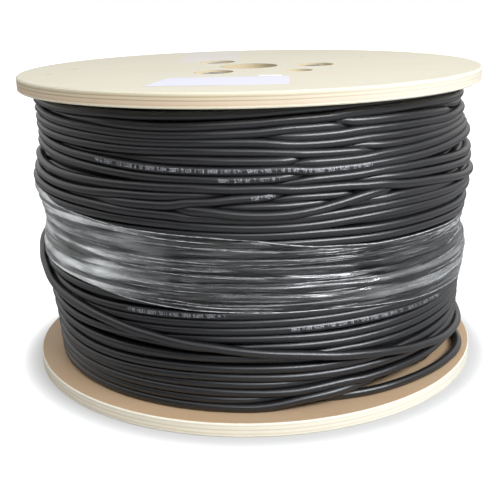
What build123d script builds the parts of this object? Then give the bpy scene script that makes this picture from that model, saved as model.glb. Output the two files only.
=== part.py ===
from build123d import *
import math
import os

os.makedirs("parts", exist_ok=True)

# A small plywood cable drum, standing on one flange and full of round cable.
# Millimetres. The origin is the centre of the lower flange's underside, +Z is up
# along the drum's axis, and the front of the drum faces -Y.

# Drum
flange_diameter = 350.0
flange_thickness = 10.0
flange_edge_break = 0.8
inside_width = 205.0
arbor_diameter = 45.0
drive_hole_diameter = 19.5
drive_hole_circle = 116.0
drive_hole_angle = -51.0

# Fibre barrel and the grooves that seat it
barrel_diameter = 152.0
barrel_wall = 6.0
groove_depth = 3.0
groove_clearance = 0.3

# Tie rods, nuts and washers
rod_count = 3
rod_diameter = 8.0
rod_circle = 102.0
first_rod_angle = 0.0
rod_hole_clearance = 0.3
rod_end_inset = 0.5
rod_end_chamfer = 0.8
counterbore_diameter = 29.0
counterbore_depth = 6.0
washer_diameter = 24.0
washer_thickness = 1.6
washer_bore_clearance = 0.2
nut_across_flats = 13.0
nut_thickness = 3.6
thread_clearance = 0.05

# Cable and the pile it is wound into
cable_diameter = 6.2
lay_pitch = 6.55
valley_depth = 2.8
lay_wander = 0.7
wander_step = 2.4
end_layers = 4
end_groove_depth = 1.4
soft_clearance = 0.3
# How far the flange stands proud of the pile, at shares of the way up it
pile_freeboard = [
    (0.00, 15.5),
    (0.14, 13.5),
    (0.30, 10.2),
    (0.42, 8.1),
    (0.50, 12.2),
    (0.67, 5.6),
    (0.74, 6.8),
    (0.88, 12.0),
    (1.00, 12.5),
]
# The flange stands this far proud of the lowest row, which the slack turn lies against
foot_freeboard = 33.0

# Clear film wound round the middle of the pile, lower on the right than on the left
film_low = 84.0
film_low_tilt = 4.0
film_high = 131.5
film_high_tilt = 4.3
film_thickness = 0.5

# The slack turn on the lower flange, as (angle in degrees, distance from the axis)
slack_route = [
    (-104.0, 146.2),
    (-91.0, 146.3),
    (-79.0, 146.8),
    (-69.0, 153.4),
    (-58.0, 158.9),
    (-46.0, 162.2),
    (-34.0, 166.2),
    (-21.0, 169.8),
    (-9.0, 163.6),
    (4.0, 155.4),
    (17.0, 149.4),
    (30.0, 146.2),
]
# Share of the shorter neighbouring run that each bend of the slack turn takes up
slack_bend_share = 0.45

# Worked out from the sizes above
flange_radius = flange_diameter / 2
cable_radius = cable_diameter / 2
barrel_radius = barrel_diameter / 2
inner_face_low = flange_thickness
inner_face_high = flange_thickness + inside_width
overall_height = inner_face_high + flange_thickness
rod_length = overall_height - 2 * rod_end_inset


def rod_places():
    step = 360.0 / rod_count
    angles = [first_rod_angle + step * i for i in range(rod_count)]
    return [Vector(rod_circle / 2, 0).rotate(Axis.Z, angle) for angle in angles]


def flange(outer_z, inner_z):
    """One plywood disc: its outer face has the counterbores, its inner face the barrel's groove."""
    low = min(outer_z, inner_z)
    outwards = 1 if outer_z > inner_z else -1
    with BuildPart() as disc:
        with BuildSketch(Plane.XY.offset(low)):
            Circle(flange_radius)
            Circle(arbor_diameter / 2, mode=Mode.SUBTRACT)
            with PolarLocations(drive_hole_circle / 2, 1, start_angle=drive_hole_angle):
                Circle(drive_hole_diameter / 2, mode=Mode.SUBTRACT)
            with Locations(*rod_places()):
                Circle(rod_diameter / 2 + rod_hole_clearance, mode=Mode.SUBTRACT)
        extrude(amount=flange_thickness)
        rims = disc.edges().filter_by(GeomType.CIRCLE).filter_by(
            lambda edge: abs(edge.radius - flange_radius) < 0.001
        )
        chamfer(rims, flange_edge_break)
        with BuildSketch(Plane.XY.offset(outer_z)):
            with Locations(*rod_places()):
                Circle(counterbore_diameter / 2)
        extrude(amount=-outwards * counterbore_depth, mode=Mode.SUBTRACT)
        with BuildSketch(Plane.XY.offset(inner_z)):
            Circle(barrel_radius + groove_clearance)
            Circle(barrel_radius - barrel_wall - groove_clearance, mode=Mode.SUBTRACT)
        extrude(amount=outwards * groove_depth, mode=Mode.SUBTRACT)
    return disc.part


# Flanges
with BuildPart() as bottom_flange:
    add(flange(0.0, inner_face_low))
bottom_flange.part.label = "bottom_flange"
export_step(bottom_flange.part, "parts/bottom_flange.step")

with BuildPart() as top_flange:
    add(flange(overall_height, inner_face_high))
top_flange.part.label = "top_flange"
export_step(top_flange.part, "parts/top_flange.step")

# Barrel, standing on the floor of both grooves
with BuildPart() as barrel:
    with BuildSketch(Plane.XY.offset(inner_face_low - groove_depth)):
        Circle(barrel_radius)
        Circle(barrel_radius - barrel_wall, mode=Mode.SUBTRACT)
    extrude(amount=inside_width + 2 * groove_depth)
barrel.part.label = "barrel"
export_step(barrel.part, "parts/barrel.step")

# Tie rods through both flanges, each with a washer and a thin nut sunk in both counterbores
washer_seats = {"bottom": counterbore_depth, "top": overall_height - counterbore_depth}
for index, place in enumerate(rod_places(), start=1):
    with BuildPart() as tie_rod:
        with BuildSketch(Plane.XY.offset(rod_end_inset)):
            with Locations(place):
                Circle(rod_diameter / 2)
        extrude(amount=rod_length)
        chamfer(tie_rod.edges().filter_by(GeomType.CIRCLE), rod_end_chamfer)
    tie_rod.part.label = f"tie_rod_{index}"
    export_step(tie_rod.part, f"parts/tie_rod_{index}.step")

    for end, seat in washer_seats.items():
        outwards = 1 if end == "top" else -1
        with BuildPart() as washer:
            with BuildSketch(Plane.XY.offset(seat)):
                with Locations(place):
                    Circle(washer_diameter / 2)
                    Circle(rod_diameter / 2 + washer_bore_clearance, mode=Mode.SUBTRACT)
            extrude(amount=outwards * washer_thickness)
        washer.part.label = f"washer_{end}_{index}"
        export_step(washer.part, f"parts/washer_{end}_{index}.step")

        with BuildPart() as nut:
            with BuildSketch(Plane.XY.offset(seat + outwards * washer_thickness)):
                with Locations(place):
                    RegularPolygon(nut_across_flats / 2, 6, major_radius=False)
                    Circle(rod_diameter / 2 + thread_clearance, mode=Mode.SUBTRACT)
            extrude(amount=outwards * nut_thickness)
        nut.part.label = f"nut_{end}_{index}"
        export_step(nut.part, f"parts/nut_{end}_{index}.step")


def pile_radius(z):
    """Distance from the axis to the outermost turns at one height, along straight slopes."""
    share = (z - inner_face_low) / inside_width
    for (low, low_board), (high, high_board) in zip(pile_freeboard, pile_freeboard[1:]):
        if share <= high:
            part_way = (share - low) / (high - low)
            return flange_radius - low_board - part_way * (high_board - low_board)
    return flange_radius - pile_freeboard[-1][1]


def crest_radius(row, z):
    """The outermost turn of one row: the pile's slope, and a wander as no two rows lie alike."""
    return pile_radius(z) + lay_wander * math.sin(wander_step * row)


# The wound cable: one turned body on the barrel, with a crest for each row of turns
foot_top = inner_face_low + cable_diameter + 2 * soft_clearance
row_count = round((inner_face_high - foot_top) / lay_pitch)
row_height = (inner_face_high - foot_top) / row_count
bore_radius = barrel_radius + soft_clearance
foot_radius = flange_radius - foot_freeboard


def end_rings(edge, face_z, inwards):
    """The outer layers' turns on one end of the pile: grooves from the edge towards the bore."""
    rings = []
    for layer in range(end_layers):
        groove = edge - (layer + 1) * cable_diameter
        rings.append((groove + end_groove_depth, face_z))
        rings.append((groove, face_z + inwards * end_groove_depth))
        rings.append((groove - end_groove_depth, face_z))
    return rings


top_edge = pile_radius(inner_face_high) - valley_depth
outline = [(bore_radius, inner_face_low)]
outline += reversed(end_rings(foot_radius, inner_face_low, 1))
outline += [(foot_radius, inner_face_low), (foot_radius, foot_top)]
for row in range(row_count):
    row_low = foot_top + row * row_height
    outline.append((pile_radius(row_low) - valley_depth, row_low))
    outline.append((crest_radius(row, row_low + row_height / 2), row_low + row_height / 2))
outline.append((top_edge, inner_face_high))
outline += end_rings(top_edge, inner_face_high, -1)
outline.append((bore_radius, inner_face_high))

with BuildPart() as cable_winding:
    with BuildSketch(Plane.XZ):
        with BuildLine():
            Polyline(*outline, close=True)
        make_face()
    revolve(axis=Axis.Z)
cable_winding.part.label = "cable_winding"
export_step(cable_winding.part, "parts/cable_winding.step")


def film_radius(z):
    return pile_radius(z) + lay_wander + soft_clearance


# Film, stretched over the crests, and cut by the sloping planes of its two edges
film_bottom = film_low - flange_radius * math.tan(math.radians(film_low_tilt))
film_top = film_high + flange_radius * math.tan(math.radians(film_high_tilt))
film_heights = [film_bottom]
for share, _ in pile_freeboard:
    bend = inner_face_low + share * inside_width
    if film_bottom < bend < film_top:
        film_heights.append(bend)
film_heights.append(film_top)
film_inside = [(film_radius(z), z) for z in film_heights]
film_outside = [(r + film_thickness, z) for r, z in reversed(film_inside)]

with BuildPart() as stretch_film:
    with BuildSketch(Plane.XZ):
        with BuildLine():
            Polyline(*film_inside, *film_outside, close=True)
        make_face()
    revolve(axis=Axis.Z)
    lower_edge = Plane.XY.offset(film_low).rotated((0, film_low_tilt, 0))
    split(bisect_by=lower_edge, keep=Keep.TOP)
    upper_edge = Plane.XY.offset(film_high).rotated((0, film_high_tilt, 0))
    split(bisect_by=upper_edge, keep=Keep.BOTTOM)
stretch_film.part.label = "stretch_film"
export_step(stretch_film.part, "parts/stretch_film.step")

# The slack turn: a round tube lying on the lower flange, its ends under the second row
slack_height = inner_face_low + cable_radius + soft_clearance / 2
slack_points = []
for angle, distance in slack_route:
    slack_points.append(Vector(distance, 0, slack_height).rotate(Axis.Z, angle))

bend_radii = []
for before, corner, after in zip(slack_points, slack_points[1:], slack_points[2:]):
    run_in = corner - before
    run_out = after - corner
    half_turn = math.radians(run_in.get_angle(run_out)) / 2
    bend_run = slack_bend_share * min(run_in.length, run_out.length)
    bend_radii.append(bend_run / math.tan(half_turn))

with BuildPart() as loose_turn:
    with BuildLine() as slack_path:
        FilletPolyline(*slack_points, radius=bend_radii)
    slack_start = Plane(origin=slack_path.wires()[0] @ 0, z_dir=slack_path.wires()[0] % 0)
    with BuildSketch(slack_start):
        Circle(cable_radius)
    sweep()
loose_turn.part.label = "loose_turn"
export_step(loose_turn.part, "parts/loose_turn.step")

slack_length = slack_path.wires()[0].length
print("bend radii of the slack turn:", [round(radius) for radius in bend_radii])
print("length of the slack turn:", round(slack_length, 1))
print("volume of the slack turn:", round(loose_turn.part.volume),
      "section times length:", round(math.pi * cable_radius**2 * slack_length))
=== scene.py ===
import math

import bpy
import numpy as np
from bpy.props import FloatProperty, FloatVectorProperty, IntProperty, PointerProperty
from mathutils import Matrix, Vector


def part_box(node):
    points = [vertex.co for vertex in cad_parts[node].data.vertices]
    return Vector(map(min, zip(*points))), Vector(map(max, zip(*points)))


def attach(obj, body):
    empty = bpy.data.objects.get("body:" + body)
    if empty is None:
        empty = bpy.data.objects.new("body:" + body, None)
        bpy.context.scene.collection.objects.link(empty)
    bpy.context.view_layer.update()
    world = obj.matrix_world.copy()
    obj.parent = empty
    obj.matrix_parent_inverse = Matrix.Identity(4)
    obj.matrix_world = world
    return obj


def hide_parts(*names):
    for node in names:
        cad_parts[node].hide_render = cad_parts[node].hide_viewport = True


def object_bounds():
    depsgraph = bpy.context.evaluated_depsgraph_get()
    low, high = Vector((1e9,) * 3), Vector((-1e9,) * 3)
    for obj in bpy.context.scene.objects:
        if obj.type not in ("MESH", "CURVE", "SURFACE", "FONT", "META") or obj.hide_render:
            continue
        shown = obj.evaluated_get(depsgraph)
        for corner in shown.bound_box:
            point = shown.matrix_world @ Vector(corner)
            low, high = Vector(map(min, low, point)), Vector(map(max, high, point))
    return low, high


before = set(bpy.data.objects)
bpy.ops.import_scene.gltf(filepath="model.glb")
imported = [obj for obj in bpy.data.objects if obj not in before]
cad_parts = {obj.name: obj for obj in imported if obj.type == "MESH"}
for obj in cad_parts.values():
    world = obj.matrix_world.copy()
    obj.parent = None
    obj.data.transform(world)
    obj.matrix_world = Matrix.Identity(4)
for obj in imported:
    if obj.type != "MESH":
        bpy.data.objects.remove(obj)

bl_info = {
    "name": "Cable drum",
    "version": (1, 0, 0),
    "blender": (4, 5, 0),
    "location": "View3D > Sidebar > Cable drum",
    "description": "A plywood drum full of black cable, with a clear film round its middle",
    "category": "Add Mesh",
}

CAD_LOW, CAD_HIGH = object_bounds()
BODY = "root"
MM = 0.001

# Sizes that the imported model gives
FLANGE_RADIUS = CAD_HIGH.x
INNER_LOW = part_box("bottom_flange")[1].z
INNER_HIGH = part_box("top_flange")[0].z
CABLE_RADIUS = 3.1 * MM

# The winding is worked out in millimetres, in columns round the drum's axis
COLUMNS = 288
TOP_LIMIT = INNER_HIGH / MM - 0.1
LOW_LIMIT = INNER_LOW / MM + 0.1
OUTER_LIMIT = FLANGE_RADIUS / MM - 0.3

# Outermost distance of the pile from the axis, by height, on the left and on the right
PILE_LEFT = {10: 156, 20: 158.5, 39: 159.5, 60: 162.5, 80: 164, 95: 165, 105: 164.5, 118: 161.5, 131: 164,
             144: 168, 152: 168.6, 158: 167, 168: 163.2, 186: 162.3, 199: 163.6, 215: 163}
PILE_RIGHT = {10: 163.5, 20: 163, 39: 163.5, 60: 164.5, 80: 167, 96: 168.8, 104: 163, 111: 162.5,
              118: 166.4, 130: 168.4, 149: 170.6, 161: 170.2, 179: 168.6, 188: 164, 199: 162.8, 215: 162.5}

# Turns in sight at the front, from the top down: {azimuth in degrees: height of the middle in mm}.
# Azimuth -90 is the front and 0 the right. "ends" is the range in which a turn lies outermost,
# and beyond it the turn dives under its neighbours, "hide" mm deep; "deep" sets all of it back.
TURNS = {
    "a": dict(deep=1, way={-160: 208, -120: 208, -100: 209, -80: 210.5, -60: 211.6, -20: 211.8}),
    "c": dict(ends=(-128, 200), way={
        -160: 206, -140: 203.5, -120: 201.6, -110: 200.8, -100: 201.8, -90: 203.3, -80: 205.2,
        -70: 206.8, -60: 208, -50: 208.6, -40: 208.2, -20: 205.5}),
    "b": dict(ends=(-200, -68), way={
        -160: 204, -150: 200.5, -140: 199, -130: 198, -120: 196.8, -110: 195.8, -100: 197.2, -90: 199.2,
        -80: 199.9, -70: 199}),
    "e5": dict(ends=(-68, -33), deep=-0.8, way={
        -75: 204, -70: 203.6, -60: 202, -50: 201.3, -40: 200.3, -35: 198.8, -25: 196.5}),
    "e4": dict(ends=(-62, 40), deep=1.6, way={-60: 205.5, -45: 204.8, -30: 203.5, -20: 202}),
    "d": dict(way={
        -160: 195.5, -140: 194, -120: 192.5, -100: 193.2, -90: 192.7, -80: 191.3, -70: 190.7,
        -60: 190.8, -50: 190.9, -40: 190.5, -30: 190}),
    "d2": dict(ends=(-86, 160), deep=-0.3, way={
        -90: 195.3, -80: 194.4, -70: 195.3, -60: 196, -50: 195.7, -40: 195, -30: 193.5}),
    "f1": dict(ends=(-200, -60), way={
        -160: 189.5, -140: 188.7, -130: 188, -120: 187.4, -110: 187.6, -100: 188, -90: 186.6,
        -80: 184.4, -70: 182.6, -60: 182.8, -50: 184.2, -40: 187, -30: 187.5}),
    "f0": dict(ends=(-66, 190), way={
        -90: 189, -80: 187.6, -70: 186.6, -66: 187.4, -60: 186.3, -55: 184.8, -50: 184.6, -45: 185.6,
        -30: 185.8}),
    "f9": dict(deep=4, way={-84: 187, -70: 186.2, -60: 186.2, -45: 187.4}),
    "g1": dict(ends=(-112, -79), way={
        -140: 184, -120: 183.5, -110: 182.3, -100: 181.7, -90: 181, -82: 180.8, -75: 181.5}),
    "g2": dict(ends=(-82, 190), way={
        -90: 178, -82: 177.8, -78: 178.2, -70: 178.6, -60: 179.4, -50: 181, -40: 182.4, -30: 184,
        -20: 185}),
    "h": dict(way={
        -155: 183, -150: 181.5, -140: 180, -130: 179, -120: 177, -110: 175.5, -100: 175, -90: 174.9,
        -60: 175, -50: 175.6, -40: 177, -30: 178.4, -20: 178.6}),
    "i": dict(ends=(-200, -76), way={
        -160: 177.5, -150: 175.7, -140: 174, -130: 172.5, -120: 171, -110: 169.5, -100: 169.3, -90: 170,
        -80: 171.6, -72: 173}),
    "q": dict(ends=(-86, 190), way={
        -92: 166.4, -85: 166.6, -80: 167.4, -75: 168.6, -70: 169.4, -60: 170, -50: 169.8, -40: 169,
        -30: 167.2, -20: 165}),
    "q9": dict(ends=(-66, 200), way={-60: 165.2, -50: 164.4, -40: 162.8, -30: 161.2, -20: 160}),
    "s": dict(deep=-0.8, way={
        -160: 166, -150: 164.7, -140: 164.2, -120: 164.2, -110: 164.8, -100: 165, -90: 164.2,
        -80: 164.2, -70: 163.6, -60: 161.6, -50: 158.4, -40: 155.2, -30: 152.2, -20: 150, -10: 148.6,
        10: 147}),
    "k": dict(ends=(-200, -100), way={
        -160: 158, -150: 157.5, -140: 156.8, -120: 157.5, -110: 158.5, -100: 160.4, -90: 162}),
    "k2": dict(ends=(-126, -86), way={
        -130: 153.8, -120: 153, -110: 153.2, -100: 155.8, -92: 158.6, -86: 160.2, -80: 160.3}),
    "u": dict(ends=(-85, -72), deep=1.2, way={
        -90: 157, -85: 157.2, -80: 157.7, -75: 157.5, -70: 156.3, -65: 155.2}),
    "u2": dict(ends=(-96, -77), deep=0.6, way={-98: 153.8, -80: 153.4, -75: 153.7, -70: 153.9}),
    "p": dict(ends=(-104, -60), deep=-1.8, way={
        -110: 152.4, -105: 152, -100: 150.6, -95: 148.9, -90: 147.4, -85: 147, -80: 148.2, -75: 150.9,
        -70: 153.8, -65: 156.2, -60: 157.8, -55: 158.6}),
    "w": dict(ends=(-63, -48), deep=2.4, way={-65: 155.8, -60: 155.7, -50: 154.7, -40: 153.5}),
    "v": dict(ends=(-68, 190), deep=0.4, way={
        -75: 153, -65: 153.2, -60: 152.6, -50: 151.4, -40: 151.6, -30: 150.5}),
    "j": dict(way={
        -160: 151.5, -150: 150.3, -140: 150, -120: 149.2, -110: 148.2, -100: 146.3, -90: 144.2,
        -80: 143.6, -75: 144.9, -70: 146, -60: 147.2, -40: 147, -20: 145}),
    "l": dict(way={
        -160: 144, -140: 143.5, -120: 142.8, -110: 142, -100: 141, -90: 140.2, -80: 140.4, -70: 141.6,
        -60: 142.8, -50: 143, -40: 142.2, -20: 140.5}),
    "l2": dict(ends=(-70, 40), deep=1.8, way={-75: 138.6, -70: 139, -60: 139.2, -50: 139, -40: 138.5}),
    "m": dict(way={
        -160: 138.5, -140: 137.5, -120: 136, -100: 135.3, -90: 134.9, -80: 135, -70: 133.9, -60: 132.9,
        -40: 132.5, -30: 131.5, -20: 129}),
    "n": dict(way={
        -150: 131, -120: 129.6, -100: 129, -90: 128.3, -80: 128.4, -70: 127.6, -60: 126.6, -40: 126,
        -30: 124.5, -20: 122.5}),
    "o1": dict(way={-150: 125.5, -120: 123.5, -100: 122.8, -90: 122, -70: 120.6, -50: 119.5, -20: 116.5}),
    "o2": dict(way={-150: 119.5, -120: 117.5, -90: 116.4, -70: 114.6, -50: 113.3, -20: 110.5}),
    "o3": dict(way={-150: 113, -120: 111.6, -90: 110.8, -70: 108.8, -50: 107, -20: 104.4}),
    "o4": dict(way={-150: 107, -120: 105.6, -90: 105, -70: 102.6, -50: 101, -20: 98}),
    "o5": dict(way={-150: 100.8, -120: 99.6, -90: 99.2, -70: 97, -50: 95.2, -20: 92}),
    "o6": dict(way={-150: 94.5, -120: 93.4, -90: 93, -70: 91.2, -50: 89.4, -20: 86}),
    "n1": dict(way={-150: 88, -140: 87.2, -130: 87, -100: 87, -80: 86.6, -60: 85.2, -20: 80.5}),
    "s1": dict(way={
        -160: 81.5, -150: 80, -140: 78.8, -130: 78, -120: 78.7, -110: 79.5, -100: 80.2, -90: 80.8,
        -80: 81.2, -60: 80.6, -40: 79.4, -20: 76}),
    "s2": dict(ends=(-136, 175), way={
        -130: 73, -120: 73.5, -110: 73.8, -100: 74.7, -90: 75.2, -80: 75.6, -70: 76.2, -60: 76.2,
        -40: 75, -30: 74.2, -20: 71}),
    "s3": dict(way={
        -160: 70, -150: 69, -140: 67.8, -130: 67, -120: 67.5, -110: 68.8, -100: 69.4, -90: 70.2,
        -80: 70.8, -60: 70.6, -40: 70.4, -30: 69.4, -20: 66.5}),
    "s4": dict(way={
        -150: 60.2, -140: 59.3, -130: 60, -120: 60.8, -110: 62.5, -100: 64.3, -90: 64.6, -80: 63.6,
        -70: 62.4, -50: 62.4, -40: 63.2, -30: 63.6, -20: 61}),
    "s5": dict(ends=(-106, 180), way={
        -140: 55.4, -130: 55.6, -110: 56, -100: 56.6, -90: 57.5, -80: 57.4, -70: 57, -60: 57, -50: 57.2,
        -40: 58, -30: 58.6, -20: 57}),
    "s6": dict(way={
        -150: 51, -140: 50.2, -130: 49.7, -110: 49.5, -100: 49.6, -90: 49.8, -80: 49.8, -70: 50.4,
        -60: 50.2, -50: 50, -40: 50.5, -30: 51.2, -20: 50}),
    "s7": dict(deep=2.2, way={
        -130: 46.4, -110: 46.2, -90: 47, -80: 46.4, -70: 45.5, -60: 46, -50: 46.6, -30: 47}),
    "s8": dict(way={
        -150: 42, -140: 40.3, -130: 40, -120: 40.6, -110: 41.5, -100: 42, -90: 41.8, -80: 41, -70: 40.4,
        -60: 40.4, -50: 41, -40: 42.5, -20: 43}),
    "s9": dict(way={
        -150: 33, -140: 32.3, -130: 32.5, -120: 33.5, -110: 34.7, -100: 35.5, -90: 35.2, -80: 34.4,
        -60: 34.2, -50: 34, -40: 34.6, -20: 36}),
    "t": dict(ends=(-200, -84), deep=0.5, way={
        -150: 29.6, -110: 30.2, -100: 30.4, -90: 30, -85: 29, -78: 28.4}),
    "t1": dict(way={
        -150: 24, -140: 23.8, -120: 24.2, -110: 24.3, -100: 24.2, -90: 23.9, -85: 23.5, -80: 23.3,
        -70: 24.4, -60: 25.4, -50: 25.8, -40: 25.8, -20: 26.6}),
    "t2": dict(ends=(-200, -88), hide=11, way={
        -150: 18.6, -120: 18.5, -100: 18.3, -90: 18.2, -80: 20, -70: 22, 100: 20}),
    "t3": dict(ends=(-200, -64), deep=-1.2, hide=11, way={
        -160: 13.2, -100: 13.2, -89: 13.2, -84: 14.8, -80: 17.4, -76: 19.6, -72: 21.1, -66: 22.4,
        -60: 22.8, 0: 21, 100: 16.5}),
    "x": dict(deep=-4.6, way={
        -180: 99, -170: 92, -160: 84, -150: 76.5, -140: 73.8, -130: 70.2, -120: 66.2, -110: 62,
        -100: 59.2, -90: 56.1, -80: 52.6, -70: 48.6, -60: 44.4, -50: 40.2, -40: 36, -30: 32.4, -20: 29,
        -10: 26.5}),
}
HIDDEN_DEPTH = 6.0
# A turn's end sinks out of sight over so many degrees, and this share of them is in its range
DIVE_DEGREES = 22.0
DIVE_INSIDE = 0.26
ROUTE_SMOOTHING = 14
# How the turns settle: how firmly each is drawn to its route, how hard two that touch push each
# other apart, how much less a turn in sight gives way, and how far out it may be pushed, in mm
HIDDEN_PULL, SHOWN_PULL = 0.10, 0.25
PRESS_STEP = 0.6
SHOWN_FIRMNESS = 0.93
OUT_LIMIT = 0.9
# Neat turns under those in sight, from this far above the lower flange to as far below the upper
UNDER_TURNS = 32
UNDER_DEPTH = 8.5
UNDER_MARGIN = 4.5
# Nothing lies lower than this over the slack turn's hidden ends, nearer the axis than the foot
FOOT_RADIUS = 152.0
FOOT_HEIGHT = 16.6

# The edges of the clear film: {azimuth in degrees: height in mm}
FILM_UPPER = {-180: 149, -150: 146, -140: 141, -120: 136.5, -100: 134, -90: 131.5, -82: 128,
              -76: 125.5, -70: 124.5, -60: 122, -40: 121, -30: 119.5, -20: 118.5, 0: 117.5}
FILM_LOWER = {-180: 97, -150: 94, -130: 91, -120: 88, -105: 85, -90: 84, -70: 82.6, -50: 77,
              -40: 75.5, -30: 74, -20: 71, 0: 70}
# Between two turns the film dips by so many mm at most, as this share of the full dip, and it
# stands this far off the cable, with soft waves on it
FILM_DIP = 2.0
FILM_CLING = 0.75
FILM_PROUD = 0.35
FILM_TIGHTENING = 200
FILM_WAVES = 14
# The gathered edges: (row of the film, half of their height in mm)
FILM_EDGES = {"lower": (0, 0.26), "upper": (-1, 0.30)}
# Milky bands in the film on the right: (low, high, how milky), in mm at azimuth -50
HAZE_BANDS = [(83.5, 91.0, 0.18), (95.5, 99.5, 0.13), (106.0, 108.0, 0.08)]
# Creases in the film: (azimuth, height, azimuth, height, half its thickness in mm)
FILM_CREASES = [
    (-80, 121.4, -63, 120.6, 0.30), (-78, 119.4, -64, 119.0, 0.26),
    (-79, 115.8, -64, 115.2, 0.24), (-79, 105.2, -63, 104.8, 0.22),
    (-78, 103.0, -63, 103.0, 0.26), (-77, 101.0, -62, 101.2, 0.22),
    (-78, 95.6, -66, 95.4, 0.26), (-77, 92.4, -66, 92.6, 0.22),
    (-74, 83.8, -66, 84.0, 0.32), (-76, 123.6, -68, 121.6, 0.34),
    (-18, 118.6, -42, 117.6, 0.34), (-18, 118.0, -46, 114.6, 0.30),
    (-19, 117.2, -38, 112.6, 0.28), (-22, 116.6, -34, 116.4, 0.26),
    (-26, 117.4, -46, 119.4, 0.26), (-15, 116.4, -30, 108.4, 0.26),
    (-14, 108.0, -34, 103.6, 0.30), (-14, 101.0, -40, 98.6, 0.26),
    (-12, 92.0, -44, 91.4, 0.28), (-16, 84.0, -46, 83.6, 0.24),
    (-138, 139.6, -112, 132.0, 0.30), (-130, 134.4, -98, 129.6, 0.26),
    (-120, 128.4, -90, 124.4, 0.22), (-124, 118.0, -96, 115.6, 0.22),
    (-118, 108.4, -88, 106.2, 0.22), (-122, 98.4, -92, 95.8, 0.24),
    (-128, 93.4, -100, 88.6, 0.30), (-112, 88.4, -84, 86.0, 0.24),
]
LOOSE_CREASES = 90

# Plain metre marks printed on the jacket: (turn, first azimuth, last azimuth)
PRINTS = [("h", -128, -62), ("i", -97, -83), ("s1", -121, -96), ("s3", -82, -36), ("k2", -90, -84)]
STROKES = {
    "a": (0, 2, 1, 2), "b": (1, 1, 1, 2), "c": (1, 0, 1, 1), "d": (0, 0, 1, 0),
    "e": (0, 0, 0, 1), "f": (0, 1, 0, 2), "g": (0, 1, 1, 1),
}
DIGITS = ["abcdef", "bc", "abged", "abgcd", "fgbc", "afgcd", "afgedc", "abc", "abcdefg", "abcdfg"]
PRINT_LEAN = 0.15
PRINT_PROUD = 0.04
DIGIT_WIDTH, DIGIT_HEIGHT, DIGIT_STEP, STROKE_WIDTH = 1.1, 1.9, 1.75, 0.24

# The slack turn on the lower flange, as (angle in degrees, distance from the axis in metres)
SLACK_ROUTE = [
    (-104.0, 0.1462), (-91.0, 0.1463), (-79.0, 0.1468), (-69.0, 0.1534),
    (-58.0, 0.1589), (-46.0, 0.1622), (-34.0, 0.1662), (-21.0, 0.1698),
    (-9.0, 0.1636), (4.0, 0.1554), (17.0, 0.1494), (30.0, 0.1462),
]
SLACK_HEIGHT = 0.01325

THREAD_PITCH = 1.25 * MM
# Small knots on the faces of the flanges: (x, y, size), in mm
KNOTS = [(-136.6, 9.8, 3.4), (-148.8, -28.5, 2.6), (96.0, 62.0, 3.0)]
# The edge of each flange from its lower to its upper face: (share of the thickness, colour)
TOP_PLIES = [
    (0.00, (0.61, 0.56, 0.42)), (0.14, (0.64, 0.59, 0.46)), (0.20, (0.49, 0.36, 0.24)),
    (0.30, (0.54, 0.42, 0.30)), (0.44, (0.56, 0.45, 0.33)), (0.49, (0.32, 0.22, 0.14)),
    (0.55, (0.54, 0.46, 0.31)), (0.66, (0.55, 0.48, 0.34)), (0.71, (0.36, 0.28, 0.17)),
    (0.78, (0.49, 0.42, 0.28)), (0.86, (0.62, 0.57, 0.43)), (1.00, (0.64, 0.60, 0.47)),
]
BOTTOM_PLIES = [
    (0.00, (0.68, 0.63, 0.51)), (0.16, (0.72, 0.68, 0.57)), (0.22, (0.60, 0.50, 0.35)),
    (0.34, (0.70, 0.65, 0.53)), (0.46, (0.72, 0.68, 0.57)), (0.52, (0.56, 0.46, 0.31)),
    (0.60, (0.70, 0.65, 0.53)), (0.76, (0.72, 0.68, 0.57)), (0.82, (0.62, 0.54, 0.40)),
    (0.90, (0.74, 0.71, 0.60)), (1.00, (0.74, 0.71, 0.60)),
]
# Bare paper on the top face: (corners in mm, colour, how much it covers). The second is a painted
# highlight: a pale strip where the label's curled edge catches the light.
PAPERS = [
    ([(-67.2, -132.2), (25.2, -138.2), (27.5, -87.4), (-55.1, -81.1)], (0.58, 0.57, 0.66), 1.0),
    ([(6.0, -80.5), (23.0, -84.5), (22.0, -77.0), (7.5, -74.0)], (0.74, 0.74, 0.76), 1.0),
    ([(-58.7, 48.9), (-7.4, 33.9), (-8.4, 160.6), (-55.8, 166.0)], (0.55, 0.53, 0.57), 0.40),
]
LABEL_SHADOW = [(-67.8, -133.6), (25.0, -139.6), (25.2, -138.0), (-67.2, -132.0)]

# The camera, from the outlines of both flanges
CAMERA_PLACE = Vector((0.0, -0.6962, 0.2839))
CAMERA_AIM = Vector((-0.00244, 0.0, 0.07645))
CAMERA_ROLL = -0.02435
CAMERA_LENS = 63.69
SENSOR_WIDTH = 36.0

# The stage, in metres: soft lamps as (place, size, colour), all aimed at the drum's middle
FLOOR_REACH = 6.0
LAMP_AIM = Vector((0.0, 0.0, 0.11))
NEUTRAL, COOL = (1.0, 1.0, 1.0), (0.95, 0.97, 1.0)
LAMPS = {
    "top": ((-0.7, -0.2, 1.5), (1.6, 1.6), NEUTRAL),
    "key": ((0.86, -0.90, 0.92), (1.1, 0.28), COOL),
    "fill": ((0.50, -1.16, 1.06), (2.4, 0.8), COOL),
}
# Greys of the floor: as it lights the drum, as the camera sees it and as the cable mirrors it
FLOOR_LIT, FLOOR_SEEN, FLOOR_MIRRORED = 0.70, 0.25, 0.33
# Beyond this many flange radii from the axis, the camera sees the floor as plain white; nearer, less white
# is added, which paints shade round the drum
FLOOR_WHITE_FROM = 1.16


# Shader maths


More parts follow.
